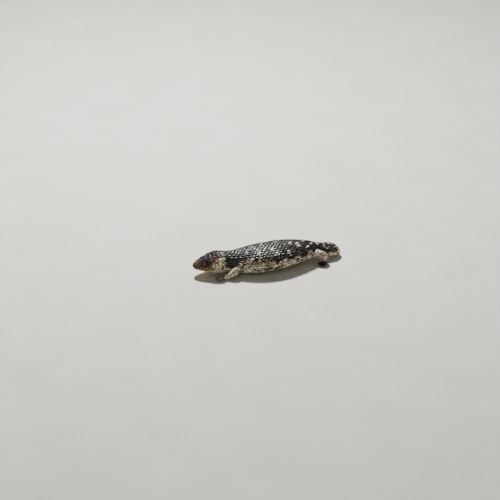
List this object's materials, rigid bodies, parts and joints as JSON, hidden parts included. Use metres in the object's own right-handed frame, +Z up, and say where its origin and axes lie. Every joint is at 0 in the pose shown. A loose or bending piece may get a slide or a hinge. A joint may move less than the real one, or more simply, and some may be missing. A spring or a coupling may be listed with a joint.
{
  "type": "shingleback skink",
  "caption": "Life-size shingleback skink, a blue tongued skink, walking low on splayed legs, with a broad scaled head, pine-cone back and blunt tail.",
  "frame": {"origin": "under the middle of the animal's bounding box, on the floor that the feet stand on", "axes": "+X runs from the snout to the tail, +Y to the animal's right side, +Z up"},
  "size_m": [0.311, 0.113, 0.0518],
  "materials": {
    "scale_skin": "thick glossy keeled scales, black-brown above with cream flecks and broken bands, olive-cream below",
    "limb_skin": "small overlapping cream and olive scales with dark edges",
    "eye": "wet, dark reddish brown",
    "claw": "dark horn, paler at the tip"
  },
  "bodies": {
    "root": {"head": "scale_skin", "neck": "scale_skin", "torso": "scale_skin", "tail": "scale_skin", "eye_left": "eye", "eye_right": "eye", "leg_front_left_upper": "limb_skin", "leg_front_left_lower": "limb_skin", "foot_front_left": "limb_skin", "leg_front_right_upper": "limb_skin", "leg_front_right_lower": "limb_skin", "foot_front_right": "limb_skin", "leg_hind_left_upper": "limb_skin", "leg_hind_left_lower": "limb_skin", "foot_hind_left": "limb_skin", "leg_hind_right_upper": "limb_skin", "leg_hind_right_lower": "limb_skin", "foot_hind_right": "limb_skin"}
  },
  "joints": []
}
